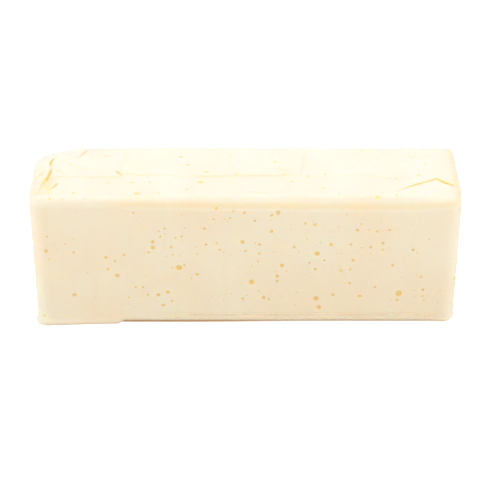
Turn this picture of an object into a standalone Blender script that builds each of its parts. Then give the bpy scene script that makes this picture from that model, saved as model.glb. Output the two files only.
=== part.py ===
"""A loaf of processed cheese out of its wrapping: a moulded block with rounded edges. The folded film
has left its print on the top and on both ends, and gas bubbles have left round eyes in the surface.

The block lies on its base, long side along X and front towards -Y, with the origin at the middle of the
base. Its surface is worked out as six sheets, one for each side. A sheet runs to the middle of the round
edges about it, and a place on it is given by two lengths along the surface, s and t, measured from the
sheet's middle. Neighbouring sheets share their stations along an edge, so they meet point for point.
"""

import math
import random

import bmesh
import bpy
from mathutils import Vector
from mathutils.geometry import delaunay_2d_cdt

MM = 0.001


def mm(*rows):
    """Rows of lengths written in millimetres, in metres."""
    return [tuple(length * MM for length in row) for row in rows]


# Driving sizes of the block
LENGTH = 283 * MM
DEPTH = 81.5 * MM
HEIGHT = 96 * MM
END_ROUND = 10 * MM
SIDE_ROUND = 8 * MM
TOP_ROUND = 6.5 * MM
BASE_ROUND = 5 * MM
END_DRAFT = 1.7 * MM
SIDE_DRAFT = 1.0 * MM

# The back left corner of the top has slumped, and bulges out as far as it has gone down
SLUMP_SLOPE = 0.28
SLUMP_REACH = 27.5 * MM
BULGE = 0.8 * MM

# Both ends stand out a little below the top, but for their front
BRIM = 1.1 * MM
BRIM_FROM = 74 * MM
BRIM_RISE = 14 * MM
BRIM_REACH = 24 * MM
BRIM_CLEAR = 10 * MM
BRIM_EASE = 12 * MM

# The front edge of the top sags by an amount that changes along x, as (x, sag) in mm
EDGE_SAG = mm(
    (-134, 0), (-122, -0.8), (-89, -0.8), (-82, 0.9), (-45, 1.4), (-20, 2.2), (15, 1.8), (40, 2.7), (110, 2.9),
    (134, 1.2),
)
EDGE_SAG_REACH = 10 * MM

# The rounding is squarer at the ends of the base, by a share that changes along x, as (x in mm, share), and
# at the back right corner
SQUARE_SHARE = ((-141, 0.95), (-87, 0.45), (-82, 0.0), (120, 0.0), (135, 0.4))
SQUARE_OUT = 2.1 * MM
SQUARE_DOWN = 1.5 * MM
SQUARE_CORNER = 3.0 * MM
TIGHT_CORNER = 2.8 * MM

# The front of the base is lifted clear of the surface below, except at the left
LIFT = 1.6 * MM
LIFT_START = -87 * MM
LIFT_EASE = 5 * MM
LIFT_REACH = 24 * MM
LIFT_RISE = 14 * MM

# The print of a fold: a riser, a lip on its high side and a shallow foot on its low side
RISER = 1.2 * MM
LIP_SHARE = 0.65
LIP_REACH = 18 * MM
FOOT_REACH = 5 * MM
FOLD_STEP = 4 * MM
FULL_FACING = 0.6

# Spacing of the points
GRID = 9.5 * MM
ARC_PARTS = 2
COARSE = 3
CLEAR_OF_FOLD = 2.2 * MM
CLEAR_OF_EYE = 1.3 * MM
SAME_PLACE = 1e-6 * MM
WELD = 5e-3 * MM
INSIDE = 1  # the triangulation keeps what is inside the outline

# An eye is a round pit: shares of its radius, outwards and down, from under the rim to the bottom
PIT_PROFILE = ((0.94, 0.42), (0.6, 0.82))
PIT_BOTTOM = 0.98
EYE_SIDES = 10

CHEESE_COLOUR = (0.88, 0.75, 0.53, 1.0)
CHEESE_ROUGHNESS = 0.42
SHARP_ANGLE = math.radians(40)

X, Y, Z = range(3)
HALF = (LENGTH / 2, DEPTH / 2, HEIGHT / 2)
TOP, BASE, FRONT, BACK, RIGHT, LEFT = (Z, 1), (Z, -1), (Y, -1), (Y, 1), (X, 1), (X, -1)

# Folds on the top as (x, y, height of the step) in mm, each with its high side on the left of its course
TOP_FOLDS = (
    # the long seam of the film, from the left end to the right
    mm(
        (-133, -11.5, 0.6), (-125.5, -7.3, 1.0), (-117, -7.3, 0.5), (-90, -7, 0.5), (-82, -5.6, 0.6),
        (-80, -3.1, 0.6), (-60, -4, 0.5), (-43, -6.5, 0.2), (-27, -5, 0.6), (8, -5.7, 0.7), (30, -5, 0.2),
        (61, -4.1, 0.3), (82, -3.3, 0.5), (87, -7.3, 0.4), (109, -8.9, 0.2), (118, -9, 0.0),
    ),
    # the end of the film folded over at the right
    mm(
        (93, -29, 0.0), (102, -23.3, 0.6), (109, -18.7, 0.9), (117, -13.8, 1.1), (126, -9.4, 1.3),
        (130, -14.5, 1.3), (136, -19, 1.0), (138.5, -30, 0.3),
    ),
    # the flap at the left, with a pocket at its foot
    mm(
        (-137, -29, 0.3), (-135.4, -25, 1.2), (-132.5, -12.2, 1.3), (-130, -4.8, 1.1), (-130.3, 18, 0.8),
        (-128, 28, 0),
    ),
    # a soft crease that runs into the seam from the back left
    mm((-124, 17, 0.3), (-117, 10.6, 0.5), (-108.7, 3.4, 0.5), (-99, -1, 0.3), (-91, -3.6, 0.0)),
    # creases across the top
    mm((-81, 31, 0.3), (-82.8, 1, 0.4)),
    mm((-9.2, 0, 0.4), (-9.6, 21, 0.2)),
    mm((37, -3, 0.2), (38.5, 5, 0.4), (40.2, 31, 0.3)),
)

# Folds on each end as (y, z from mid height, step) in mm: the flaps of the film meet in the middle
END_FOLDS = (
    mm((-32, 41, 0.4), (-3, 6, 0.9), (3, 6, 0.9), (32, 41, 0.4)),
    mm((32, -42, 0.4), (3, -6, 0.9), (-3, -6, 0.9), (-32, -42, 0.4)),
)
FOLDS = {TOP: TOP_FOLDS, BASE: (), FRONT: (), BACK: (), RIGHT: END_FOLDS, LEFT: END_FOLDS}

# The largest eyes of the front as (x, z from mid height, width), and of the top as (x, y, width), in mm
FRONT_EYES = mm(
    (-131, 10, 3.0), (-114, -24, 3.0), (-92, 5, 2.4), (-85, -9, 3.2), (-61, 17, 2.7), (-61, 12.5, 3.4),
    (-58, -24, 2.9), (-52, -22, 2.9), (-55, -32, 2.7), (-44, -3, 4.6), (-32, -8, 2.4), (-2, 17, 3.3),
    (4, -14, 4.2), (12, -26, 2.7), (21, -9.5, 2.9), (24, -1, 3.0), (17, 25, 2.7), (21, 39, 3.3),
    (32, 13, 2.4), (45, 30, 2.6), (47, 8, 3.9), (56, 15, 2.9), (47, -27, 3.8), (49, -34, 3.5),
    (58, -24, 2.5), (73, 26, 2.5), (90, 16, 2.5), (71, 3, 2.4), (76, -25, 2.7), (97, -1, 2.4),
    (102, -23, 4.9), (118, -20, 2.4),
)
TOP_EYES = mm(
    (-71, -30, 3.8), (-38.7, -24.5, 2.6), (-29.7, -14.5, 4.2), (-25.9, -0.4, 3.4), (-6.2, -4.1, 2.4),
    (-75, -15, 3.0), (-43.8, 21.7, 3.6), (-38.7, 10.4, 3.2), (25, -3.9, 3.0), (30.9, -13.4, 2.8),
    (19.8, 14.2, 3.0), (86, -33, 4.0), (114.8, -5.1, 3.0), (111.9, 21.1, 2.6),
)

# The eyes of the other sides are spread by a seeded draw, and wide ones are rare
SPREAD_EYES = ((BACK, 22), (RIGHT, 8), (LEFT, 7))
LEAST_WIDTH = 2.3 * MM
MOST_WIDTH = 4.4 * MM
WIDE_IS_RARE = 3
EYE_SPACING = 7 * MM
EYE_EDGE = 9 * MM
SEED = 31


def smooth(x):
    """0 up to x = 0, 1 from x = 1, and an easy curve between them."""
    x = min(max(x, 0.0), 1.0)
    return x * x * (3 - 2 * x)


def rounding(axis, side):
    if axis == Z:
        return TOP_ROUND if side > 0 else BASE_ROUND
    return (END_ROUND, SIDE_ROUND)[axis]


def border(axis, side):
    """The length from the middle of a sheet to the middle of the round edge that ends it."""
    return side * (HALF[axis] + rounding(axis, side) * (math.pi / 4 - 1))


def along(axis, s):
    """Where the length s lies: the centre of the rounding there, and the tangent of the angle turned."""
    side = 1 if s > 0 else -1
    flat = HALF[axis] - rounding(axis, side)
    if abs(s) <= flat:
        return s, 0.0
    return side * flat, side * math.tan((abs(s) - flat) / rounding(axis, side))


def plain_point(sheet, s, t):
    """A point of the plain rounded block, and the direction that the surface faces there."""
    axis, side = sheet
    across, up = (i for i in (X, Y, Z) if i != axis)
    centre = Vector()
    turn = Vector()
    centre[axis], turn[axis] = side * (HALF[axis] - rounding(axis, side)), side
    centre[across], turn[across] = along(across, s)
    centre[up], turn[up] = along(up, t)
    facing = turn.normalized()
    radii = Vector([rounding(i, turn[i]) for i in (X, Y, Z)])
    return centre + facing * radii, facing


def fold_height(fold, a, b):
    """How far the print of one fold moves the surface at (a, b), both measured in its sheet."""
    nearest = math.inf
    for (a0, b0, step0), (a1, b1, step1) in zip(fold, fold[1:]):
        run = Vector((a1 - a0, b1 - b0))
        offset = Vector((a - a0, b - b0))
        share = min(max(offset.dot(run) / run.length_squared, 0.0), 1.0)
        gap = offset - run * share
        if gap.length < nearest:
            nearest = gap.length
            distance = math.copysign(nearest, run.cross(gap))
            step = step0 + (step1 - step0) * share
    riser = smooth(distance / RISER + 0.5)
    lip = LIP_SHARE * (1 - smooth(distance / LIP_REACH))
    foot = (LIP_SHARE - 1) * (1 - smooth(-distance / FOOT_REACH))
    return step * (riser * lip + (1 - riser) * foot)


def relief(point, facing):
    """How far the prints of all the folds raise the surface of the plain block."""
    height = 0.0
    if facing.z > 0:
        for fold in TOP_FOLDS:
            height += fold_height(fold, point.x, point.y) * smooth(facing.z / FULL_FACING)
    if facing.x:
        for fold in END_FOLDS:
            height += fold_height(fold, point.y, point.z) * smooth(abs(facing.x) / FULL_FACING)
    return height


def between(rows, x):
    """The value at x of a course that eases from row to row, each row a place along x and its value."""
    for (x0, value0), (x1, value1) in zip(rows, rows[1:]):
        if x < x1:
            return value0 + (value1 - value0) * smooth((x - x0) / (x1 - x0))
    return rows[-1][1]


def squared(point, facing):
    """The block's point, pressed out squarer at the ends of the base and at the back right corner."""
    level = facing.xy.length
    sideways = facing.xy.normalized()
    share = 2 * level * max(0.0, -facing.z) * between(SQUARE_SHARE, point.x / MM)
    corner = 2 * abs(sideways.x * sideways.y)
    out = share * (SQUARE_OUT + level**2 * corner * SQUARE_CORNER)
    if facing.x > 0 and facing.y > 0:
        out += level * corner**4 * TIGHT_CORNER
    low = max(point.z - share * SQUARE_DOWN, -HALF[Z])
    return Vector((point.x + sideways.x * out, point.y + sideways.y * out, low))


def settled(point):
    """The plain block's point after moulding and standing: drafted, slumped, sagged and lifted."""
    rise = (point.z + HALF[Z]) / HEIGHT
    from_front = point.y + HALF[Y]
    from_corner = math.hypot(point.x + HALF[X], point.y - HALF[Y])
    slumped = max(0.0, SLUMP_REACH - from_corner) * rise**2
    brim = BRIM * smooth((rise * HEIGHT - BRIM_FROM) / BRIM_RISE) * smooth((from_front - BRIM_CLEAR) / BRIM_EASE)
    bulge = brim + BULGE * smooth(slumped / SLUMP_REACH)
    outward = math.copysign(bulge, point.x) * smooth((abs(point.x) - HALF[X] + BRIM_REACH) / BRIM_REACH)
    x = point.x * (1 - (1 - rise) * END_DRAFT / HALF[X]) + outward
    y = point.y * (1 - (1 - rise) * SIDE_DRAFT / HALF[Y])
    sag = between(EDGE_SAG, point.x) * (1 - smooth(from_front / EDGE_SAG_REACH)) * rise**2
    lift = LIFT * smooth((point.x - LIFT_START) / LIFT_EASE)
    lift *= (1 - smooth(from_front / LIFT_REACH)) * (1 - smooth(rise * HEIGHT / LIFT_RISE))
    return Vector((x, y, rise * HEIGHT - SLUMP_SLOPE * slumped - sag + lift))


def surface_point(sheet, s, t):
    point, facing = plain_point(sheet, s, t)
    return settled(squared(point + facing * relief(point, facing), facing))


def stations(axis):
    """Lengths along an axis: a few on each round edge, and even ones on the flat."""
    low, high = (side * (HALF[axis] - rounding(axis, side)) for side in (-1, 1))
    parts = math.ceil((high - low) / GRID)
    flat = [low + (high - low) * i / parts for i in range(parts + 1)]
    before = [border(axis, -1) + (low - border(axis, -1)) * i / ARC_PARTS for i in range(ARC_PARTS)]
    after = [high + (border(axis, 1) - high) * (i + 1) / ARC_PARTS for i in range(ARC_PARTS)]
    return before + flat + after


def grid_points(sheet, across, up):
    """The crossings of the stations inside a sheet. Most of those on the flat are left out but on the top."""
    for i, s in enumerate(across[1:-1], 1):
        for j, t in enumerate(up[1:-1], 1):
            on_flat = min(i, len(across) - 1 - i) > ARC_PARTS and min(j, len(up) - 1 - j) > ARC_PARTS
            if sheet == TOP or not on_flat or i % COARSE == j % COARSE == 0:
                yield Vector((s, t))


def rails(fold):
    """Two lines of points along a fold, one at the top of its riser and one at the foot."""
    for (a0, b0, _), (a1, b1, _) in zip(fold, fold[1:]):
        start, end = Vector((a0, b0)), Vector((a1, b1))
        across = (end - start).orthogonal().normalized() * RISER / 2
        parts = max(1, round((end - start).length / FOLD_STEP))
        for i in range(parts):
            middle = start.lerp(end, (i + 0.5) / parts)
            yield middle + across
            yield middle - across


def spread_eyes(sheet, count, draw):
    """Eyes spread over a side by a seeded draw, and kept apart from each other and from the folds."""
    axis, _ = sheet
    across, up = (i for i in (X, Y, Z) if i != axis)
    fold_points = [point for fold in FOLDS[sheet] for point in rails(fold)]
    eyes = []
    while len(eyes) < count:
        s = draw.uniform(-1, 1) * (HALF[across] - rounding(across, 1) - EYE_EDGE)
        t = draw.uniform(-1, 1) * (HALF[up] - rounding(up, 1) - EYE_EDGE)
        apart = all(math.hypot(s - eye[0], t - eye[1]) > EYE_SPACING for eye in eyes)
        off_folds = all(math.hypot(s - point.x, t - point.y) > EYE_SPACING / 2 for point in fold_points)
        if apart and off_folds:
            width = LEAST_WIDTH + (MOST_WIDTH - LEAST_WIDTH) * draw.random() ** WIDE_IS_RARE
            eyes.append((s, t, width))
    return eyes


def eye_rim(s, t, width):
    turns = (2 * math.pi * i / EYE_SIDES for i in range(EYE_SIDES))
    return [Vector((s + width / 2 * math.cos(turn), t + width / 2 * math.sin(turn))) for turn in turns]


def sheet_layout(sheet, eyes):
    """The points of a sheet in its own two lengths: those of its border, of its eyes' rims, and the rest."""
    axis, _ = sheet
    across, up = (stations(i) for i in (X, Y, Z) if i != axis)
    border_loop = [Vector((s, up[0])) for s in across[:-1]]
    border_loop += [Vector((across[-1], t)) for t in up[:-1]]
    border_loop += [Vector((s, up[-1])) for s in reversed(across[1:])]
    border_loop += [Vector((across[0], t)) for t in reversed(up[1:])]
    rims = [point for eye in eyes for point in eye_rim(*eye)]
    fold_points = [point for fold in FOLDS[sheet] for point in rails(fold)]
    grid = [
        point
        for point in grid_points(sheet, across, up)
        if all((point - rail).length > CLEAR_OF_FOLD for rail in fold_points)
    ]
    inner = [
        point
        for point in fold_points + grid
        if all((point - Vector(eye[:2])).length > eye[2] / 2 + CLEAR_OF_EYE for eye in eyes)
    ]
    return border_loop, rims, inner


def add_pit(mesh, rim, middle, width):
    """Sinks a round pit below a rim of vertices, towards the inside of the block."""
    outward = (rim[0].co - middle).cross(rim[EYE_SIDES // 4].co - middle).normalized()
    inward = -outward * width / 2
    ring = rim
    for spread, depth in PIT_PROFILE:
        lower = [mesh.verts.new(middle + (v.co - middle) * spread + inward * depth) for v in rim]
        for i in range(EYE_SIDES):
            after = (i + 1) % EYE_SIDES
            mesh.faces.new((ring[i], ring[after], lower[after], lower[i]))
        ring = lower
    bottom = mesh.verts.new(middle + inward * PIT_BOTTOM)
    for i in range(EYE_SIDES):
        mesh.faces.new((ring[i], ring[(i + 1) % EYE_SIDES], bottom))


def add_sheet(mesh, sheet, eyes):
    """Fills a sheet with triangles between its points, and sinks its eyes."""
    border_loop, rims, inner = sheet_layout(sheet, eyes)
    points = border_loop + rims + inner
    first = len(border_loop)
    loops = [list(range(first + i * EYE_SIDES, first + (i + 1) * EYE_SIDES)) for i in range(len(eyes))]
    edges = [pair for loop in loops for pair in zip(loop, loop[1:] + loop[:1])]
    outline = [list(range(first))]
    places, _, triangles, origins, _, _ = delaunay_2d_cdt(points, edges, outline, INSIDE, SAME_PLACE)
    made = [mesh.verts.new(surface_point(sheet, *place)) for place in places]
    made_from = {origin: vertex for vertex, listed in zip(made, origins) for origin in listed}
    rim_of = {made_from[corner]: number for number, loop in enumerate(loops) for corner in loop}
    axis, side = sheet
    faces_out = side if axis != Y else -side
    for triangle in triangles:
        corners = [made[i] for i in triangle]
        over_eye = {rim_of.get(corner) for corner in corners}
        if len(over_eye) > 1 or None in over_eye:
            mesh.faces.new(corners[::faces_out])
    for loop, (s, t, width) in zip(loops, eyes):
        rim = [made_from[corner] for corner in loop][::faces_out]
        add_pit(mesh, rim, surface_point(sheet, s, t), width)


def eyes_of_sheets():
    draw = random.Random(SEED)
    eyes = {BASE: [], TOP: TOP_EYES, FRONT: FRONT_EYES}
    for sheet, count in SPREAD_EYES:
        eyes[sheet] = spread_eyes(sheet, count, draw)
    return eyes


def cheese_material():
    material = bpy.data.materials.new("cheese")
    material.use_nodes = True
    shader = material.node_tree.nodes["Principled BSDF"]
    shader.inputs["Base Color"].default_value = CHEESE_COLOUR
    shader.inputs["Roughness"].default_value = CHEESE_ROUGHNESS
    return material


def build_loaf():
    mesh = bmesh.new()
    for sheet, eyes in eyes_of_sheets().items():
        add_sheet(mesh, sheet, eyes)
    bmesh.ops.remove_doubles(mesh, verts=mesh.verts, dist=WELD)
    data = bpy.data.meshes.new("loaf")
    mesh.to_mesh(data)
    mesh.free()
    data.shade_smooth()
    data.set_sharp_from_angle(angle=SHARP_ANGLE)
    data.materials.append(cheese_material())
    bpy.context.collection.objects.link(bpy.data.objects.new("loaf", data))


for old in list(bpy.data.objects):
    bpy.data.objects.remove(old)
build_loaf()
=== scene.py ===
"""The looks of a loaf of processed cheese, out of its wrapping and lying on its long base."""

import math
import random

import bmesh
import bpy
import numpy as np
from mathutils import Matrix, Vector, noise
from mathutils.geometry import delaunay_2d_cdt


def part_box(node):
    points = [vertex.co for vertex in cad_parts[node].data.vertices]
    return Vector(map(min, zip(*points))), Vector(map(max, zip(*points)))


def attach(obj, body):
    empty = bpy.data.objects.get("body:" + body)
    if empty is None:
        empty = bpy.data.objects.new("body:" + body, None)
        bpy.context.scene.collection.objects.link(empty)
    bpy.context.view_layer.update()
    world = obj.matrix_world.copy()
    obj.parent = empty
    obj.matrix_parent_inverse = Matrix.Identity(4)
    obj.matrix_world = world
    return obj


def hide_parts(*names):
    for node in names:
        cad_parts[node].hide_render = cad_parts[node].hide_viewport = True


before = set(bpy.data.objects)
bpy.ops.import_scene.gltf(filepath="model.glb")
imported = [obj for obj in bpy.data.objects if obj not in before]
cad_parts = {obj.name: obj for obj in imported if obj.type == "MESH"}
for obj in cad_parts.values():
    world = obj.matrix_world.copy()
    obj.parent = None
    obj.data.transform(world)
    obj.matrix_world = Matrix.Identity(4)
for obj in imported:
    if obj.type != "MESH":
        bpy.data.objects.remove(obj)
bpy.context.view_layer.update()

# The moulded block
# The loaf is molten cheese filled hot into film in a long mould, where it sets. Its edges stay round, its
# sides keep the mould's slight draft, and where it stood warm one corner slumped and one edge sagged.
MM = 0.001


def mm(*rows):
    """Rows of lengths written in millimetres, in metres."""
    return [tuple(length * MM for length in row) for row in rows]


LENGTH = 283 * MM
DEPTH = 81.5 * MM
HEIGHT = 96 * MM
HALF = np.array((LENGTH, DEPTH, HEIGHT)) / 2
LOW_ROUND = np.array((10, 8, 5)) * MM  # roundings along x, y and z, at the low and the high end of each
HIGH_ROUND = np.array((10, 8, 6.5)) * MM
END_DRAFT = 1.7 * MM
SIDE_DRAFT = 1.0 * MM

# the slumped back left corner of the top, and the swelling under it
SLUMP_SLOPE = 0.28
SLUMP_REACH = 27.5 * MM
BULGE = 0.8 * MM

# the brim that swells over the upper part of both ends, but not at their front
BRIM = 1.1 * MM
BRIM_FROM = 74 * MM
BRIM_RISE = 14 * MM
BRIM_REACH = 24 * MM
BRIM_CLEAR = 10 * MM
BRIM_EASE = 12 * MM

# how far the front edge of the top sags, as rows of place along the loaf and depth
EDGE_SAG = mm(
    (-134, 0), (-122, -0.8), (-89, -0.8), (-82, 0.9), (-45, 1.4), (-20, 2.2), (15, 1.8), (40, 2.7),
    (110, 2.9), (134, 1.2),
)
EDGE_SAG_REACH = 10 * MM

# how far the front edge of the base is lifted from the table, from the start to the right end
LIFT = 1.6 * MM
LIFT_START = -87 * MM
LIFT_EASE = 5 * MM
LIFT_REACH = 24 * MM
LIFT_RISE = 14 * MM

# the low edges pressed out squarer near both ends, as rows of place along the loaf in mm and share
SQUARE_SHARE = ((-141, 0.95), (-87, 0.45), (-82, 0.0), (120, 0.0), (135, 0.4))
SQUARE_OUT = 2.1 * MM
SQUARE_DOWN = 1.5 * MM
SQUARE_CORNER = 3.0 * MM
TIGHT_CORNER = 2.8 * MM
TIGHTNESS = 4
TINY = 1e-6

# a sheet is one side of the block out to the middle of its round edges, named by its axis and its way, and
# a place on it is a pair of lengths (s, t) along the two other axes
X, Y, Z = range(3)
TOP, BASE, FRONT, BACK, RIGHT, LEFT = (Z, 1), (Z, -1), (Y, -1), (Y, 1), (X, 1), (X, -1)
SPACING = np.array((1.6, 1.3, 1.6)) * MM
ARC_PARTS = 5


def smooth(x):
    """Eases from 0 to 1 while x goes from 0 to 1."""
    x = np.clip(x, 0.0, 1.0)
    return x * x * (3 - 2 * x)


def others(axis):
    """The two axes beside one, which are the two lengths of its sheets."""
    return [i for i in (X, Y, Z) if i != axis]


def turned(axis, lengths):
    """Where lengths along a sheet lie: the centre of the rounding, and the tangent of the angle turned."""
    rounding = np.where(lengths > 0, HIGH_ROUND[axis], LOW_ROUND[axis])
    flat = HALF[axis] - rounding
    over = np.maximum(np.abs(lengths) - flat, 0.0)
    side = np.sign(lengths)
    return side * np.minimum(np.abs(lengths), flat), side * np.tan(over / rounding)


def plain_block(sheet, places):
    """Points of the plain rounded block, and the way that its surface faces there."""
    axis, side = sheet
    across, up = others(axis)
    centre = np.zeros((len(places), 3))
    turn = np.zeros((len(places), 3))
    centre[:, axis] = side * (HALF[axis] - (HIGH_ROUND if side > 0 else LOW_ROUND)[axis])
    turn[:, axis] = side
    centre[:, across], turn[:, across] = turned(across, places[:, 0])
    centre[:, up], turn[:, up] = turned(up, places[:, 1])
    facing = turn / np.linalg.norm(turn, axis=1, keepdims=True)
    return centre + facing * np.where(turn > 0, HIGH_ROUND, LOW_ROUND), facing


def between(rows, x):
    """Values at x of a course that eases from row to row, each row a place along x and its value."""
    places, values = np.array(rows).T
    before = np.clip(np.searchsorted(places, x) - 1, 0, len(places) - 2)
    share = smooth((x - places[before]) / (places[before + 1] - places[before]))
    return values[before] + (values[before + 1] - values[before]) * share


def squared(points, facing):
    """Points of the block with the ends of the base and the back right corner pressed out squarer."""
    level = np.linalg.norm(facing[:, :2], axis=1)
    sideways = facing[:, :2] / np.maximum(level, TINY)[:, None]
    # twice the product of the two parts of a direction is 1 half way round an edge, and 0 on its flats
    share = 2 * level * np.maximum(0.0, -facing[:, Z]) * between(SQUARE_SHARE, points[:, X] / MM)
    corner = 2 * np.abs(sideways[:, X] * sideways[:, Y])
    out = share * (SQUARE_OUT + level**2 * corner * SQUARE_CORNER)
    out += level * corner**TIGHTNESS * (facing[:, X] > 0) * (facing[:, Y] > 0) * TIGHT_CORNER
    moved = points.copy()
    moved[:, :2] += sideways * out[:, None]
    moved[:, Z] = np.maximum(moved[:, Z] - share * SQUARE_DOWN, -HALF[Z])
    return moved


def settled(points):
    """The plain block's points after moulding and standing: drafted, slumped, sagged and lifted."""
    x, y, z = points.T
    rise = (z + HALF[Z]) / HEIGHT
    from_front = y + HALF[Y]
    slumped = np.maximum(0.0, SLUMP_REACH - np.hypot(x + HALF[X], y - HALF[Y])) * rise**2
    brim = BRIM * smooth((rise * HEIGHT - BRIM_FROM) / BRIM_RISE)
    brim = brim * smooth((from_front - BRIM_CLEAR) / BRIM_EASE)
    bulge = brim + BULGE * smooth(slumped / SLUMP_REACH)
    outward = np.sign(x) * smooth((np.abs(x) - HALF[X] + BRIM_REACH) / BRIM_REACH) * bulge
    sag = between(EDGE_SAG, x) * (1 - smooth(from_front / EDGE_SAG_REACH)) * rise**2
    lift = LIFT * smooth((x - LIFT_START) / LIFT_EASE)
    lift = lift * (1 - smooth(from_front / LIFT_REACH)) * (1 - smooth(rise * HEIGHT / LIFT_RISE))
    return np.stack(
        (
            x * (1 - (1 - rise) * END_DRAFT / HALF[X]) + outward,
            y * (1 - (1 - rise) * SIDE_DRAFT / HALF[Y]),
            rise * HEIGHT - SLUMP_SLOPE * slumped - sag + lift,
        ),
        axis=1,
    )


def stations(axis):
    """Lengths along an axis: a few on each round edge, and even ones on the flat."""
    low, high = LOW_ROUND[axis] - HALF[axis], HALF[axis] - HIGH_ROUND[axis]
    flat = np.linspace(low, high, math.ceil((high - low) / SPACING[axis]) + 1)
    before = low - LOW_ROUND[axis] * math.pi / 4 * np.arange(ARC_PARTS, 0, -1) / ARC_PARTS
    after = high + HIGH_ROUND[axis] * math.pi / 4 * np.arange(1, ARC_PARTS + 1) / ARC_PARTS
    return np.concatenate((before, flat, after))


# The prints of the film
# The film that lined the mould was folded over on the top and at the ends, and its folds pressed steps and
# creases into the cheese. Each is a riser with a lip on its high side and a shallow foot on its low side.
LIP_SHARE = 0.65  # of a step's height lies above the plain block, and the rest below it
LIP_REACH = 18 * MM
FOOT_REACH = 5 * MM
FULL_FACING = 0.6  # a print has its full height where the surface faces its way by this much
# a pinched crease carries the full painted gold shade from this depth on
FULL_PINCH = 1.0 * MM
RISER = 1.0 * MM
SOFT_RISER = 3.6 * MM
PINCH_WIDTH = 0.5 * MM
SOFT_PINCH_WIDTH = 1.6 * MM

# Lines of points beside a fold, as (offset from it, spacing along it) in mm
RAIL_OFFSETS = ((0.0, 0.7), (0.45, 0.8), (0.9, 0.9), (1.6, 1.2), (2.6, 1.6))

# Folds as (place along the two lengths of their sheet, height of the step, depth of the pinched crease at
# its foot) in mm, high side on the left
TOP_FOLDS = (
    # the long seam
    mm(
        (-133.5, -11.5, 0.4, 0.5), (-131.3, -9.5, 0.6, 0.6), (-125.7, -6.8, 0.6, 0.3),
        (-117, -7.2, 0.4, 0.2), (-102, -7.5, 0.4, 0.2), (-90, -6.8, 0.4, 0.35), (-84.5, -6.1, 0.5, 0.4),
        (-82.4, -5.1, 0.5, 0.6), (-80, -3.2, 0.5, 0.3), (-68.6, -4.7, 0.4, 0.35), (-58, -3.5, 0.4, 0.25),
        (-43.4, -5.6, 0.2, 0.15), (-30, -6, 0.5, 0.35), (0, -5.8, 0.5, 0.35), (17.7, -5.3, 0.5, 0.3),
        (34, -5.3, 0.2, 0.15), (61, -4.1, 0.3, 0.1), (82, -3.3, 0.4, 0.15), (87, -7.3, 0.3, 0.15),
        (109, -8.9, 0.2, 0.1), (118, -9, 0, 0),
    ),
    # the end of the film folded over at the right
    mm(
        (93, -29, 0, 0.05), (99.2, -26.6, 0.3, 0.15), (106.4, -21.1, 0.5, 0.6), (112, -17.5, 0.6, 1.3),
        (116.8, -14.6, 0.7, 0.9), (121, -12.4, 0.7, 0.7), (126, -9.6, 0.8, 1.2),
        (127.7, -10.4, 0.8, 1.4), (129.2, -13, 0.8, 1.9), (131.6, -15.4, 0.7, 1.9), (135.6, -17, 0.5, 1.2),
        (136.6, -17.4, 0, 0.2),
    ),
    # the flap at the left, and the short folds on it and at its foot
    mm(
        (-136.2, -29, 0.3, 0.1), (-134.6, -25, 0.7, 0.5), (-133.1, -17.5, 0.7, 0.4),
        (-131.8, -12.5, 0.8, 0.6), (-130, -5.7, 0.8, 1.8), (-129.5, -0.2, 0.7, 1.8), (-129, 4.8, 0.6, 0.5),
        (-128.8, 8, 0.5, 0), (-130.6, 11, 0.6, 1.6), (-129.6, 19.5, 0.6, 1.6), (-127.6, 23, 0.3, 0.2),
        (-128, 28, 0, 0),
    ),
    mm((-132.5, -1, 0, 0.2), (-134, -2.6, 0.3, 1.2), (-136.8, -6.9, 0.3, 1.6), (-138.9, -10.3, 0.2, 0.8)),
    mm(
        (-140, -23, 0, 0.3), (-138.6, -26, 0.2, 0.5), (-136.6, -28.6, 0.3, 0.5), (-132.8, -29, 0.3, 0.6),
        (-129, -28.2, 0, 0.2),
    ),
    mm((-124, -16, 0, 0.6), (-124.8, -19, 0.2, 1.8), (-126, -21.8, 0.2, 1.8), (-127.4, -23.8, 0, 0.6)),
    # creases across the top, and those beside the seam at the left
    mm(
        (-108, 31, 0.1, 0.9), (-109.2, 27.6, 0.3, 1.1), (-110.8, 23.6, 0.3, 0.9), (-113, 20.3, 0.3, 0.5),
        (-116, 18.4, 0.2, 0.5), (-118.5, 17.6, 0, 0.2),
    ),
    mm((-127, 3, 0.2, 0.2), (-120.9, -2.7, 0.3, 0.35), (-118.5, -4, 0, 0.1)),
    mm((-86.4, 1.3, 0.1, 0.7), (-85.4, 0.3, 0.2, 1.4), (-84, -1.8, 0.3, 1.1), (-82.6, -4.4, 0.2, 0.7)),
    # a short slanting crease, and a fine one near the front
    mm((17.9, 7.7, 0, 0), (21, 5.5, 0.3, 0.2), (27.4, 1.3, 0.3, 0.25), (34, -6, 0.1, 0)),
    mm((0, -28, 0, 0), (2, -28, 0.3, 0.3), (9.5, -28, 0.35, 0.35), (14, -28, 0.3, 0.1), (32, -27.7, 0, 0)),
)

# Broad soft creases, where the film only bent
SOFT_FOLDS = (
    mm(
        (-124, 17, 0.6, 0.05), (-116.8, 9.3, 1.2, 0.1), (-109.6, 4.1, 1.2, 0.1), (-99.4, -0.9, 0.8, 0.08),
        (-91, -3.6, 0, 0),
    ),
    mm((-129.3, -18, 0, 0), (-129.1, -21, 0.3, 0.3), (-128.7, -28, 0.3, 0.3), (-128.3, -35, 0, 0)),
    mm((-81, 31, 0.7, 0.05), (-82.8, 1, 0.8, 0.08)),
    mm((-10, 20, 0.4, 0.03), (-8.9, -0.2, 0.7, 0.08)),
    mm((37, -3, 0.4, 0.03), (38.5, 5, 0.7, 0.08), (40.2, 31, 0.5, 0.03)),
    mm(
        (136.5, 14, 0, 0), (136.9, -2.6, 0.5, 0.15), (136.4, -11.5, 0.6, 0.3), (136.5, -20, 0.4, 0.1),
        (135.7, -33.7, 0, 0),
    ),
)

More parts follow.
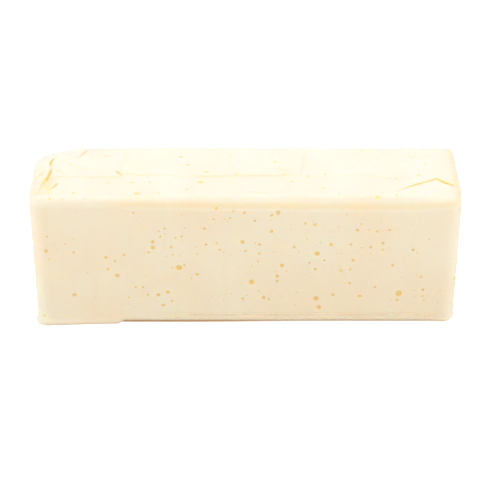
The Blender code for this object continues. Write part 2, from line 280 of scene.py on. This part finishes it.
# Four folds of each end run from its corners to two short level ones, above and below its middle
END_FOLDS = (
    mm((-32, 41, 0.4, 0.2), (-3, 6, 0.9, 0.5), (3, 6, 0.9, 0.5), (32, 41, 0.4, 0.2)),
    mm((32, -42, 0.4, 0.2), (3, -6, 0.9, 0.5), (-3, -6, 0.9, 0.5), (-32, -42, 0.4, 0.2)),
)
FOLDS = {TOP: TOP_FOLDS + SOFT_FOLDS, BASE: (), FRONT: (), BACK: (), RIGHT: END_FOLDS, LEFT: END_FOLDS}

# The shallow pocket that the left flap's foot left in the top, as its middle, its reach and its depth
POCKET_MIDDLE = (-130 * MM, -17.5 * MM)
POCKET_REACH = (3.6 * MM, 9 * MM)
POCKET_DEPTH = 0.8 * MM
# painted shade in the pocket, as a share of the creases' fullest gold
POCKET_SHADE = 0.3


def fold_print(fold, a, b, riser_width, pinch_width):
    """How far one fold moves the surface at each place (a, b), and how deep it is pinched there."""
    nearest = np.full(len(a), np.inf)
    distance, step, depth = np.zeros((3, len(a)))
    for (a0, b0, step0, depth0), (a1, b1, step1, depth1) in zip(fold, fold[1:]):
        run_a, run_b = a1 - a0, b1 - b0
        share = np.clip(((a - a0) * run_a + (b - b0) * run_b) / (run_a**2 + run_b**2), 0.0, 1.0)
        gap_a, gap_b = a - a0 - run_a * share, b - b0 - run_b * share
        gap = np.hypot(gap_a, gap_b)
        closer = gap < nearest
        nearest = np.where(closer, gap, nearest)
        distance = np.where(closer, np.copysign(gap, run_a * gap_b - run_b * gap_a), distance)
        step = np.where(closer, step0 + (step1 - step0) * share, step)
        depth = np.where(closer, depth0 + (depth1 - depth0) * share, depth)
    riser = smooth(distance / riser_width + 0.5)
    lip = LIP_SHARE * (1 - smooth(distance / LIP_REACH))
    foot = (LIP_SHARE - 1) * (1 - smooth(-distance / FOOT_REACH))
    pinch = depth * np.exp(-((distance / pinch_width) ** 2))
    return step * (riser * lip + (1 - riser) * foot) - pinch, pinch


def prints(points, facing):
    """How far all the folds raise the plain block's surface, and how deep they are pinched."""
    x, y, z = points.T
    on_top = smooth(facing[:, Z] / FULL_FACING)
    on_ends = smooth(np.abs(facing[:, X]) / FULL_FACING) * (1 - smooth(facing[:, Z] / FULL_FACING))
    raised, pinched = np.zeros((2, len(points)))
    sharp, soft = (RISER, PINCH_WIDTH), (SOFT_RISER, SOFT_PINCH_WIDTH)
    kinds = (
        (TOP_FOLDS, (x, y), on_top, sharp),
        (SOFT_FOLDS, (x, y), on_top, soft),
        (END_FOLDS, (y, z), on_ends, sharp),
    )
    for folds, (a, b), share, widths in kinds:
        for fold in folds:
            height, pinch = fold_print(fold, a, b, *widths)
            raised += height * share
            pinched += pinch * share
    across, along = (x - POCKET_MIDDLE[0]) / POCKET_REACH[0], (y - POCKET_MIDDLE[1]) / POCKET_REACH[1]
    pocket = np.exp(-(across**2 + along**2) ** 2) * on_top
    # the pinches and the pocket also set how much painted gold shade lies there
    return raised - pocket * POCKET_DEPTH, pinched + pocket * POCKET_SHADE * FULL_PINCH


def rails(fold):
    """Lines of points beside a fold, closest together at its riser."""
    for (a0, b0, *_), (a1, b1, *_) in zip(fold, fold[1:]):
        start, end = Vector((a0, b0)), Vector((a1, b1))
        across = (end - start).orthogonal().normalized()
        for offset, spacing in RAIL_OFFSETS:
            parts = max(1, round((end - start).length / (spacing * MM)))
            for i in range(parts):
                middle = start.lerp(end, (i + 0.5) / parts)
                yield middle + across * offset * MM
                yield middle - across * offset * MM


# The waves, wrinkles and ridges of the surface
# Film that is not quite taut leaves long soft waves in the cheese, and fine wrinkles where it is gathered,
# most of them near the two ends of the top. Along the foot of the front it left a few level ridges, with
# painted shade in the troughs between them, and the upper round edges carry a band of warm painted shade.
WAVE_HEIGHT = 0.16 * MM
WAVE_LENGTH = 26 * MM
WRINKLE_HEIGHT = 0.22 * MM
WRINKLE_LENGTH = 5 * MM
WRINKLE_LEVEL = 0.2  # about the mean of the noise, so that wrinkles go up and down
GATHERED_FROM = 100 * MM
GATHERED_OVER = 30 * MM

# the band of painted shade on the upper edges, where the surface's upward facing lies between two values
EDGE_SHADE = 0.25
EDGE_SHADE_FROM = -100 * MM
EDGE_BEGINS = 0.3
EDGE_EASES_IN = 0.25
EDGE_ENDS = 0.7
EDGE_EASES_OUT = 0.2

# the ridges, measured up from the table and along the loaf, and the mesh points that draw them
RIDGE_HEIGHT = 0.24 * MM
# painted shade in the troughs, as a share of the eyes' gold
TROUGH_SHADE = 0.2
RIDGE_SPACING = 2.1 * MM
RIDGE_FIRST = 4.45 * MM
RIDGES_UP_TO = 11.9 * MM
RIDGES_FROM = -62 * MM
RIDGES_TO = 138 * MM
RIDGES_EASE = 12 * MM
RIDGE_ROWS = np.arange(-44.8, -35.8, 0.46) * MM
RIDGE_COLUMN = 3.0 * MM


def wrinkles(points, facing):
    """Heights of the waves and wrinkles at each point."""
    gathered = smooth((np.abs(points[:, X]) - GATHERED_FROM) / GATHERED_OVER) * smooth(facing[:, Z])
    heights = np.empty(len(points))
    for i, point in enumerate(points):
        place = Vector(point)
        wave = noise.noise(place / WAVE_LENGTH)
        wrinkle = abs(noise.noise(place / WRINKLE_LENGTH)) - WRINKLE_LEVEL
        heights[i] = WAVE_HEIGHT * wave + WRINKLE_HEIGHT * gathered[i] * wrinkle
    return heights


def painted_edge_shade(points, facing):
    """How strong the band of painted shade is on the upper round edges, all along but at the left end."""
    turned_up = facing[:, Z]
    on_edge = smooth((turned_up - EDGE_BEGINS) / EDGE_EASES_IN)
    on_edge = on_edge * (1 - smooth((turned_up - EDGE_ENDS) / EDGE_EASES_OUT))
    return EDGE_SHADE * on_edge * smooth((points[:, X] - EDGE_SHADE_FROM) / GATHERED_OVER)


def ridges(points, facing):
    """Heights of the level ridges at each point, below zero in the troughs between them."""
    x = points[:, X]
    above = points[:, Z] + HALF[Z]
    wave = np.cos(2 * math.pi * (above - RIDGE_FIRST) / RIDGE_SPACING)
    on_foot = smooth((above - RIDGE_FIRST) / RIDGE_SPACING + 1)
    on_foot = on_foot * (1 - smooth((above - RIDGES_UP_TO) / RIDGE_SPACING + 1))
    along = smooth((x - RIDGES_FROM) / RIDGES_EASE) * smooth((RIDGES_TO - x) / RIDGES_EASE)
    return RIDGE_HEIGHT * wave * on_foot * along * np.maximum(0.0, -facing[:, Y])


def surface(sheet, places):
    """Finished points of the block's surface, how strongly it is pinched there and its painted gold shade.

    Whatever moves the surface is the same, or nothing, where two sheets meet, so that they can be welded.
    """
    points, facing = plain_block(sheet, places)
    raised, pinched = prints(points, facing)
    # painted shade: a warm band on the upper round edges
    golden = painted_edge_shade(points, facing)
    if sheet != BASE:
        above = points[:, Z] + HALF[Z] - LOW_ROUND[Z] / 2
        raised = raised + wrinkles(points, facing) * smooth(above / LIFT_RISE)
    if sheet == FRONT:
        ridged = ridges(points, facing)
        raised = raised + ridged
        # painted shade in the troughs between the ridges
        golden = golden + TROUGH_SHADE * np.maximum(0.0, -ridged / RIDGE_HEIGHT)
    finished = settled(squared(points + facing * raised[:, None], facing))
    return finished, np.minimum(pinched / FULL_PINCH, 1.0), golden


# The gas eyes
# Small bubbles of gas rose against the film and left round pits, crowded in the middle and the right of the
# front. Those listed lie where the loaf shows them, and the larger ones of the hidden sides and all the
# pinholes follow a seeded draw.

# Eyes as (place along the two lengths of their sheet, width) in mm
FRONT_EYES = mm(
    (-131, 10, 3.0), (-114, -24, 3.0), (-92, 5, 2.4), (-85, -9, 3.2), (-61, 17, 2.7), (-61, 12.5, 3.4),
    (-58, -24, 2.9), (-52, -22, 2.9), (-55, -32, 2.7), (-44, -3, 4.6), (-32, -8, 2.4), (-2, 17, 3.3),
    (4, -14, 4.2), (12, -26, 2.7), (21, -9.5, 2.9), (24, -1, 3.0), (17, 25, 2.7), (21, 39, 3.3),
    (32, 13, 2.4), (45, 30, 2.6), (47, 8, 3.9), (56, 15, 2.9), (47, -27, 3.8), (49, -34, 3.5),
    (58, -24, 2.5), (73, 26, 2.5), (90, 16, 2.5), (71, 3, 2.4), (76, -25, 2.7), (97, -1, 2.4),
    (102, -23, 4.9), (118, -20, 2.4),
    (-64, 9, 1.9), (-49, 13, 2.1), (-40.5, -1, 2.1), (-49, -29, 1.9), (-65, -24, 1.8), (-73, -18, 1.7),
    (-68, -18, 1.7), (-78, -26, 1.5), (-86, 2, 1.8), (-91, -4, 2.0), (-80, 7, 2.0), (-113, 9, 1.8),
    (-135, -41, 2.1), (-130, 21, 1.5), (-46, 20, 1.8), (-42, 21, 1.8), (-56, 21, 1.8), (-57, 25, 1.5),
    (-53, 27, 1.7), (-73, 39, 1.8), (-48, 7, 1.4), (0, 10, 2.0), (17, 37, 2.1), (9, 15, 2.0),
    (9, 8, 2.0), (8, 2, 1.7), (21, -13.3, 2.3), (15.5, -27.5, 1.7), (-2, -27, 2.0), (39, 31, 1.8),
    (46, -4, 2.1), (52, 3, 1.8), (42, 1, 1.7), (-27, 27, 2.1), (-21, 34, 1.8), (-26, 15, 2.1),
    (-17, 11, 2.0), (-19, 16, 1.6), (-19, 42, 2.0), (-8, 40, 1.8), (-10, 35, 1.8), (-1, 39, 2.1),
    (6, 33, 2.1), (86, 25, 2.0), (94, 26, 2.0), (90, 11, 1.8), (82, 13, 2.0), (69, 15, 2.0),
    (63, -5, 2.0), (69, -4, 1.8), (101, -28, 2.1), (86, -18, 2.0), (69, -15, 2.1), (118, -25, 1.7),
    (119, -28, 1.5), (116, -10, 2.0), (110, 11, 2.2),
)
TOP_EYES = mm(
    (-112.5, -29.3, 3.0), (-71, -30.3, 4.4), (-57, -30, 2.4), (-38.7, -24.5, 2.6), (-29.7, -14.5, 4.2),
    (-25.9, -0.4, 3.4), (-6.2, -4.1, 2.4), (-75, -15, 3.0), (-63, -15, 2.4), (-91, -15, 2.4),
    (-94, 23, 2.4), (-43.8, 21.7, 3.6), (-38.7, 10.4, 3.2), (25, -3.9, 3.0), (30.9, -13.4, 2.8),
    (28.5, -21.4, 1.6), (41.4, -7, 2.2), (53, -3, 2.4), (51, -23, 2.4), (61, -31, 2.4), (86, -34, 3.4),
    (89.5, -29.8, 1.7), (98.2, -32, 2.4), (99.3, -9.2, 2.4), (114.8, -5.1, 3.0), (111.9, 21.1, 2.6),
    (119, 19, 1.6), (114.6, 25.8, 1.5), (120.5, 11.9, 1.9), (19.8, 14.2, 3.0), (-10.1, 22.7, 1.6),
    (-9.6, -15.2, 1.6), (-112.7, -2.4, 1.6), (-101.7, -7.9, 1.5), (-119.9, 24.7, 2.4),
    (-127.3, -36.9, 2.2), (-119.2, -37.6, 1.9), (-104.3, -37.2, 1.5), (-98.9, -37.3, 1.3),
)
RIGHT_EYES = mm((-36.6, -13, 3.4))  # on the round edge between the front and the right end
EYES_RAISED = 0.5 * MM  # the front's eyes are measured from this much above mid height
SEED = 7
PINHOLES = {TOP: 46, BASE: 0, FRONT: 250, BACK: 220, RIGHT: 50, LEFT: 50}
LARGER_EYES = {BACK: 34, RIGHT: 9, LEFT: 9}
PINHOLE_WIDTHS = (0.65 * MM, 1.4 * MM)
LARGER_WIDTHS = (1.6 * MM, 4.6 * MM)
SMALL_ARE_MANY = 3
EYE_GAP = 0.9 * MM
NEAR_AN_EYE = 9 * MM
ALONE = 0.3  # share of the pinholes that lie anywhere, and not near an eye

# Rings of a pit as shares of its radius, outwards and down, with how much gold painted shade each ring has
WIDE_PIT = ((0.84, 0.04, 0.4), (0.76, 0.18, 1.0), (0.64, 0.3, 1.0), (0.46, 0.36, 0.85), (0.23, 0.38, 0.65))
SMALL_PIT = ((0.84, 0.05, 0.4), (0.7, 0.24, 1.0), (0.4, 0.36, 1.0))
WIDE_FROM = 1.45 * MM
RIM_MARGIN = 0.3 * MM
PIT_BOTTOM = 1.04
SMALL_SIDES = 9
WIDE_SIDES = 12
SIDES_ADDED = 4  # for each two millimetres of width
# the painted gold shade is weaker in pits narrower than this; on the top it is the creases' gold, at a
# share, in shallower pits
PALE_UP_TO = 1.4 * MM
TOP_PALENESS = 0.7
TOP_DEPTH = 0.6
OVAL = 0.07


def apart(place, width, eyes):
    """Whether an eye of this width at this place is clear of all the eyes."""
    return all(
        math.hypot(place[0] - s, place[1] - t) > (width + other) / 2 + EYE_GAP for s, t, other in eyes
    )


def add_spread_eyes(sheet, eyes, count, widths, draw, near):
    """Adds eyes by a seeded draw, clear of the others, and most of them near one if near is set."""
    across, up = others(sheet[0])
    centres = list(eyes)
    wanted = len(eyes) + count
    while len(eyes) < wanted:
        if near and centres and draw.random() > ALONE:
            s, t, _ = draw.choice(centres)
            place = (draw.gauss(s, NEAR_AN_EYE), draw.gauss(t, NEAR_AN_EYE))
        else:
            place = (draw.uniform(-1, 1) * HALF[across], draw.uniform(-1, 1) * HALF[up])
        inside = all(abs(length) < HALF[i] - HIGH_ROUND[i] for length, i in zip(place, (across, up)))
        width = widths[0] + (widths[1] - widths[0]) * draw.random() ** SMALL_ARE_MANY
        if inside and apart(place, width, eyes):
            eyes.append((*place, width))


def eyes_of_block():
    """The eyes of every sheet, the front's moved with its draft and its sagging edge."""
    draw = random.Random(SEED)
    eyes = {sheet: [] for sheet in FOLDS}
    eyes[TOP] = list(TOP_EYES)
    eyes[RIGHT] = list(RIGHT_EYES)
    for x, z, width in FRONT_EYES:
        rise = (z + EYES_RAISED + HALF[Z]) / HEIGHT
        taper = 1 - (1 - rise) * END_DRAFT / HALF[X]
        eyes[FRONT].append((x / taper, z + EYES_RAISED + float(between(EDGE_SAG, x)) * rise**2, width))
    for sheet, count in LARGER_EYES.items():
        add_spread_eyes(sheet, eyes[sheet], count, LARGER_WIDTHS, draw, near=False)
    for sheet, count in PINHOLES.items():
        add_spread_eyes(sheet, eyes[sheet], count, PINHOLE_WIDTHS, draw, near=True)
    return eyes


def eye_sides(width):
    """How many sides the rim of an eye has."""
    return SMALL_SIDES if width < WIDE_FROM else WIDE_SIDES + SIDES_ADDED * round(width / (2 * MM))


def eye_rim(s, t, width):
    """Places round an eye, which is a little oval, each one in its own direction."""
    sides = eye_sides(width)
    for i in range(sides):
        turn = 2 * math.pi * i / sides
        reach = (width / 2 + RIM_MARGIN) * (1 + OVAL * math.sin(s / MM) * math.cos(2 * turn + t / MM))
        yield s + reach * math.cos(turn), t + reach * math.sin(turn)


# The mesh of the loaf
# The cheese has one unbroken skin. Each side is a sheet of triangles between its stations, the rails of its
# folds and the rims of its eyes, and neighbouring sheets are welded along the middle of the round edges.
CLEAR = 0.45 * MM
INSIDE = 1  # the triangulation keeps what is inside the outline
SAME_PLACE = 1e-6 * MM
WELD = 2e-3 * MM

# On the flat of a sheet, one station in so many is used each way
SPARSE = {TOP: 1, BASE: 4, FRONT: 2, BACK: 2, RIGHT: 1, LEFT: 1}


def thinned(points):
    """The points without those that lie too close to one before them."""
    cells = {}
    kept = []
    for point in points:
        column, row = int(point[0] // CLEAR), int(point[1] // CLEAR)
        close = (
            other
            for i in (column - 1, column, column + 1)
            for j in (row - 1, row, row + 1)
            for other in cells.get((i, j), ())
        )
        if all(math.hypot(point[0] - other[0], point[1] - other[1]) > CLEAR for other in close):
            cells.setdefault((column, row), []).append(point)
            kept.append(point)
    return kept


def sheet_points(sheet, eyes):
    """The places of a sheet: its border, the rims of its eyes, and the rest."""
    across, up = (stations(i) for i in others(sheet[0]))
    border = [(s, up[0]) for s in across[:-1]] + [(across[-1], t) for t in up[:-1]]
    border += [(s, up[-1]) for s in across[:0:-1]] + [(across[0], t) for t in up[:0:-1]]
    rims = [place for eye in eyes for place in eye_rim(*eye)]
    lines = [tuple(point) for fold in FOLDS[sheet] for point in rails(fold)]
    if sheet == FRONT:
        lines = [(s, t) for t in RIDGE_ROWS for s in np.arange(RIDGES_FROM, across[-1], RIDGE_COLUMN)]
    grid = []
    for i, s in enumerate(across[1:-1], 1):
        for j, t in enumerate(up[1:-1], 1):
            on_flat = min(i, len(across) - 1 - i) > ARC_PARTS and min(j, len(up) - 1 - j) > ARC_PARTS
            if not on_flat or i % SPARSE[sheet] == j % SPARSE[sheet] == 0:
                grid.append((s, t))
    low, high = (across[0], up[0]), (across[-1], up[-1])
    rest = [
        point
        for point in lines + grid
        if all(low[k] + CLEAR < point[k] < high[k] - CLEAR for k in (0, 1))
        and all(
            math.hypot(point[0] - s, point[1] - t) > width / 2 + RIM_MARGIN + CLEAR for s, t, width in eyes
        )
    ]
    return border, rims, thinned(rest)


def sink_pit(mesh, tint, strength, rim, middle, width, deep):
    """Sinks a pit inside a rim of vertices and paints it with gold shade, in the layer given as tint."""
    radius = width / 2
    count = len(rim)
    outward = (rim[0].co - middle).cross(rim[count // 4].co - middle).normalized()
    in_rim = radius / (radius + RIM_MARGIN)
    ring = rim
    for reach, depth, gold in WIDE_PIT if width >= WIDE_FROM else SMALL_PIT:
        lower = []
        for vertex in rim:
            place = middle + (vertex.co - middle) * in_rim * reach - outward * radius * depth * deep
            lower.append(mesh.verts.new(place))
            lower[-1][tint] = gold * strength
        for i in range(count):
            after = (i + 1) % count
            mesh.faces.new((ring[i], ring[after], lower[after], lower[i]))
        ring = lower
    bottom = mesh.verts.new(middle - outward * radius * depth * deep * PIT_BOTTOM)
    bottom[tint] = gold * strength
    for i in range(count):
        mesh.faces.new((ring[i], ring[(i + 1) % count], bottom))


def add_sheet(mesh, sheet, eyes, golden, pinched):
    """Fills a sheet with triangles between its places, and sinks its eyes."""
    border, rims, rest = sheet_points(sheet, eyes)
    points = [Vector(point) for point in border + rims + rest]
    loops = []
    start = len(border)
    for _, _, width in eyes:
        loops.append(list(range(start, start + eye_sides(width))))
        start += eye_sides(width)
    edges = [pair for loop in loops for pair in zip(loop, loop[1:] + loop[:1])]
    outline = [list(range(len(border)))]
    places, _, triangles, origins, _, _ = delaunay_2d_cdt(points, edges, outline, INSIDE, SAME_PLACE)
    finished, creased, gilded = surface(sheet, np.array(places))
    made = [mesh.verts.new(point) for point in finished]
    for vertex, crease, gold in zip(made, creased, gilded):
        vertex[pinched] = crease
        vertex[golden] = gold

    # x and z, the two lengths of the front and the back, turn the other way round than those of the rest
    faces_out = sheet[1] if sheet[0] != Y else -sheet[1]
    made_from = {origin: vertex for vertex, listed in zip(made, origins) for origin in listed}
    rim_of = {made_from[corner]: number for number, loop in enumerate(loops) for corner in loop}
    for triangle in triangles:
        corners = [made[i] for i in triangle]
        over_eye = {rim_of.get(corner) for corner in corners}
        if len(over_eye) > 1 or None in over_eye:
            mesh.faces.new(corners[::faces_out])
    if not eyes:
        return
    middles, _, _ = surface(sheet, np.array([eye[:2] for eye in eyes]))
    # painted gold shade in the pits: the eyes' gold, and on the top the creases' gold
    tint, share, deep = golden, 1.0, 1.0
    if sheet == TOP:
        tint, share, deep = pinched, TOP_PALENESS, TOP_DEPTH
    for loop, middle, (_, _, width) in zip(loops, middles, eyes):
        rim = [made_from[corner] for corner in loop][::faces_out]
        strength = share * min(1.0, width / PALE_UP_TO)
        sink_pit(mesh, tint, strength, rim, Vector(middle), width, deep)


def make_loaf():
    """The whole skin of the loaf, as one object."""
    mesh = bmesh.new()
    golden = mesh.verts.layers.float.new("golden")
    pinched = mesh.verts.layers.float.new("pinched")
    for sheet, eyes in eyes_of_block().items():
        add_sheet(mesh, sheet, eyes, golden, pinched)
    bmesh.ops.remove_doubles(mesh, verts=mesh.verts, dist=WELD)
    data = bpy.data.meshes.new("cheese_loaf")
    mesh.to_mesh(data)
    mesh.free()
    return bpy.data.objects.new("cheese_loaf", data)


loaf = make_loaf()
bpy.context.collection.objects.link(loaf)
loaf.data.shade_smooth()

# the waves, lips and brims stay inside the solid's box
places = np.empty(len(loaf.data.vertices) * 3, np.float32)
loaf.data.vertices.foreach_get("co", places)
low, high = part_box("loaf")
places = np.clip(places.reshape(-1, 3), low, high)
loaf.data.vertices.foreach_set("co", places.ravel().astype(np.float32))

# cheese is milky: light goes in, and red light comes out furthest from where it went in
SHINE = 0.3
MILKINESS = 0.6
MILKY_REACH = 1.2 * MM
MILKY_COLOURS = (1.0, 0.55, 0.25)
cheese = bpy.data.materials.new("cheese")
cheese.use_nodes = True
shader = cheese.node_tree.nodes["Principled BSDF"]
shader.inputs["Specular IOR Level"].default_value = SHINE
shader.inputs["Subsurface Weight"].default_value = MILKINESS
shader.inputs["Subsurface Radius"].default_value = MILKY_COLOURS
shader.inputs["Subsurface Scale"].default_value = MILKY_REACH


def add_node(material, kind, inputs=(), **settings):
    """A node of a material or a world. Each input is given a value, or another node's output."""
    node = material.node_tree.nodes.new(kind)
    for name, value in settings.items():
        setattr(node, name, value)
    for name, value in inputs:
        if isinstance(value, bpy.types.NodeSocket):
            material.node_tree.links.new(value, node.inputs[name])
        else:
            node.inputs[name].default_value = value
    return node


def stretched_noise(material, place, stretch, scale, detail):
    """Cloudy noise over the loaf, its clouds drawn out where the stretch is small."""
    drawn_out = add_node(material, "ShaderNodeMapping", (("Vector", place), ("Scale", stretch)))
    clouds = (("Vector", drawn_out.outputs["Vector"]), ("Scale", scale), ("Detail", detail))
    return add_node(material, "ShaderNodeTexNoise", clouds).outputs["Fac"]


def mixed(material, factor, first, second):
    """A colour between the first, where the factor is 0, and the second, where it is 1."""
    inputs = (("Factor", factor), ("A", first), ("B", second))
    return add_node(material, "ShaderNodeMix", inputs, data_type="RGBA").outputs["Result"]


def spread(material, value, low, high, to_low, to_high):
    """A value between two limits, spread over a new range with soft ends."""
    inputs = (
        ("Value", value), ("From Min", low), ("From Max", high), ("To Min", to_low), ("To Max", to_high),
    )
    node = add_node(material, "ShaderNodeMapRange", inputs, interpolation_type="SMOOTHSTEP")
    return node.outputs["Result"]


# cream with broad peach clouds and faint streaks down the sides, and painted gold shade in the eyes, the
# pinched creases, the pocket, the troughs and on the upper edges
CREAM = (0.935, 0.805, 0.595, 1)
PEACH = (0.960, 0.780, 0.555, 1)
STREAK = (0.925, 0.775, 0.550, 1)
EYE_SHADE_GOLD = (0.93, 0.63, 0.175, 1)
CREASE_SHADE_GOLD = (1.0, 0.74, 0.17, 1)
EVEN = (1.0, 1.0, 1.0)
UPRIGHT = (1.0, 1.0, 0.06)
CLOUD_SCALE = 22.0
CLOUD_LIMITS = (0.35, 0.65)
STREAK_SCALE = 160.0
STREAK_LIMITS = (0.5, 0.8)
STREAK_SHARE = 0.6
place = add_node(cheese, "ShaderNodeTexCoord").outputs["Object"]
clouds = stretched_noise(cheese, place, EVEN, CLOUD_SCALE, 1.0)
streaks = stretched_noise(cheese, place, UPRIGHT, STREAK_SCALE, 2.0)
peachy = mixed(cheese, spread(cheese, clouds, *CLOUD_LIMITS, 0.0, 1.0), CREAM, PEACH)
streaked = mixed(cheese, spread(cheese, streaks, *STREAK_LIMITS, 0.0, STREAK_SHARE), peachy, STREAK)
# the two layers of painted gold shade, carried on the mesh
golden = add_node(cheese, "ShaderNodeAttribute", attribute_name="golden").outputs["Fac"]
pinched = add_node(cheese, "ShaderNodeAttribute", attribute_name="pinched").outputs["Fac"]
finish = mixed(cheese, golden, mixed(cheese, pinched, streaked, CREASE_SHADE_GOLD), EYE_SHADE_GOLD)
cheese.node_tree.links.new(finish, shader.inputs["Base Color"])

# satin where the film lay taut, duller in patches
PATCH_SCALE = 60.0
PATCH_LIMITS = (0.3, 0.7)
SATIN, DULL = 0.46, 0.62
dullness = stretched_noise(cheese, place, EVEN, PATCH_SCALE, 3.0)
roughness = spread(cheese, dullness, *PATCH_LIMITS, SATIN, DULL)
cheese.node_tree.links.new(roughness, shader.inputs["Roughness"])

# the film's fine grain
GRAIN_SCALE = 700.0
GRAIN_HEIGHT = 0.04 * MM
grain = stretched_noise(cheese, place, EVEN, GRAIN_SCALE, 3.0)
grain_bump = add_node(cheese, "ShaderNodeBump", (("Height", grain), ("Distance", GRAIN_HEIGHT)))
cheese.node_tree.links.new(grain_bump.outputs["Normal"], shader.inputs["Normal"])
loaf.data.materials.append(cheese)

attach(loaf, "root")
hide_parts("loaf")

# The floor
# A plain white table, lit brightly and glowing pure white where the camera sees it, but for a painted
# warm shade right under the lifted edge of the loaf, where its colour and glow are painted dark and warm.
FLOOR_HALF = 3.0
MATT = 0.9
FLOOR_WHITE = (0.65, 0.61, 0.57, 1)
PAINTED_SHADE_WARM = (0.95, 0.68, 0.36, 1)
GLOW_WHITE = (1.0, 1.0, 1.0, 1)
PAINTED_SHADE_GLOW = (0.15, 0.07, 0.03, 1)

# the painted shade is a rounded oblong round the loaf's middle, reaching furthest out where the lift begins
SHADE_HALF = (126 * MM, 20.2 * MM, 0)
SHADE_ROUND = 12 * MM
SHADE_ADDED = 1.35 * MM
SHADE_DEEPENS = (-105 * MM, -75 * MM)
SHADE_THINS = (-45 * MM, 50 * MM)
SHADE_SOFTNESS = 2.7 * MM
floor_mesh = bpy.data.meshes.new("floor")
floor_corners = [(x * FLOOR_HALF, y * FLOOR_HALF, 0) for x, y in ((-1, -1), (1, -1), (1, 1), (-1, 1))]
floor_mesh.from_pydata(floor_corners, [], [(0, 1, 2, 3)])
floor = bpy.data.objects.new("floor", floor_mesh)
bpy.context.collection.objects.link(floor)
paint = bpy.data.materials.new("floor_paint")
paint.use_nodes = True
floor_mesh.materials.append(paint)
floor_shader = paint.node_tree.nodes["Principled BSDF"]
floor_shader.inputs["Roughness"].default_value = MATT
floor_shader.inputs["Specular IOR Level"].default_value = 0.0


def vector_step(operation, first, second=None):
    """A node of the floor's paint that works on vectors."""
    inputs = ((0, first),) if second is None else ((0, first), (1, second))
    return add_node(paint, "ShaderNodeVectorMath", inputs, operation=operation)


def number_step(operation, first, second):
    """What a node of the floor's paint makes of two numbers."""
    inputs = ((0, first), (1, second))
    return add_node(paint, "ShaderNodeMath", inputs, operation=operation).outputs["Value"]


floor_place = add_node(paint, "ShaderNodeTexCoord").outputs["Object"]
from_middle = vector_step("ABSOLUTE", floor_place).outputs["Vector"]
past_inner = vector_step("SUBTRACT", from_middle, SHADE_HALF).outputs["Vector"]
past = vector_step("MAXIMUM", past_inner, (0, 0, 0)).outputs["Vector"]
distance = vector_step("LENGTH", past).outputs["Value"]
along_floor = add_node(paint, "ShaderNodeSeparateXYZ", (("Vector", floor_place),)).outputs["X"]
deepest = spread(paint, along_floor, *SHADE_DEEPENS, 0.0, SHADE_ADDED)
thinning = spread(paint, along_floor, *SHADE_THINS, 1.0, 0.0)
reach = number_step("SUBTRACT", distance, number_step("MULTIPLY", deepest, thinning))
clear = spread(paint, reach, SHADE_ROUND, SHADE_ROUND + SHADE_SOFTNESS, 0.0, 1.0)
seen = add_node(paint, "ShaderNodeLightPath").outputs["Is Camera Ray"]
# painted shade: inside the oblong the floor's colour and its glow are dark and warm
paint.node_tree.links.new(mixed(paint, clear, PAINTED_SHADE_WARM, FLOOR_WHITE), floor_shader.inputs["Base Color"])
paint.node_tree.links.new(mixed(paint, clear, PAINTED_SHADE_GLOW, GLOW_WHITE), floor_shader.inputs["Emission Color"])
paint.node_tree.links.new(seen, floor_shader.inputs["Emission Strength"])

# The light
# A white room all round, a soft lamp above and behind the loaf that makes its top the brightest side, one
# at each end that picks out the round edges, a large low one in front, and a dim one behind for the back.
ROOM_LIGHT = 0.5
ROOM_SEEN = 1.0  # what the camera sees of the room is pure white
room = bpy.data.worlds.new("room")
bpy.context.scene.world = room
room.use_nodes = True
strength = add_node(room, "ShaderNodeMix", (("A", ROOM_LIGHT), ("B", ROOM_SEEN)))
camera_ray = add_node(room, "ShaderNodeLightPath").outputs["Is Camera Ray"]
background = room.node_tree.nodes["Background"]
background.inputs["Color"].default_value = (1, 1, 1, 1)
room.node_tree.links.new(camera_ray, strength.inputs["Factor"])
room.node_tree.links.new(strength.outputs["Result"], background.inputs["Strength"])

WARM = (1.0, 0.985, 0.95)
COOL = (0.75, 0.755, 1.0)
SKY = (0.66, 0.81, 1.0)
SOFT_GREEN = (0.85, 1.0, 0.9)


def add_lamp(name, place, size, power, colour):
    """A square soft lamp that points at the middle of the loaf."""
    data = bpy.data.lights.new(name, "AREA")
    data.size = size
    data.energy = power
    data.color = colour
    lamp = bpy.data.objects.new(name, data)
    bpy.context.collection.objects.link(lamp)
    lamp.location = place
    to_loaf = Vector((0, 0, HEIGHT / 2)) - lamp.location
    lamp.rotation_euler = to_loaf.to_track_quat("-Z", "Y").to_euler()


add_lamp("lamp_over", (0.0, 0.73, 1.155), 0.35, 9.5, COOL)
add_lamp("lamp_left", (-1.2, -0.22, 0.5), 0.7, 9.2, SKY)
add_lamp("lamp_right", (1.2, -0.3, 0.62), 0.7, 9.0, SKY)
add_lamp("lamp_front", (0.0, -1.45, 0.06), 1.2, 11.6, WARM)
add_lamp("lamp_back", (0.0, 1.7, 0.2), 1.0, 4.0, SOFT_GREEN)

# The camera
# It stands a good metre in front of the loaf with a long lens, and looks down at about thirty degrees on a
# point a little left of the middle and a little below mid height.
ELEVATION = math.radians(29.9)
DISTANCE = 1.310
LENS = 144.6
SENSOR = 36.0
AIM = Vector((-0.0036, 0.0, 0.0437))
camera_data = bpy.data.cameras.new("camera")
camera_data.lens = LENS
camera_data.sensor_width = SENSOR
camera = bpy.data.objects.new("camera", camera_data)
bpy.context.collection.objects.link(camera)
camera.rotation_euler = (math.pi / 2 - ELEVATION, 0, 0)
camera.location = AIM + DISTANCE * Vector((0, -math.cos(ELEVATION), math.sin(ELEVATION)))
bpy.context.scene.camera = camera
bpy.context.scene.view_settings.view_transform = "Standard"
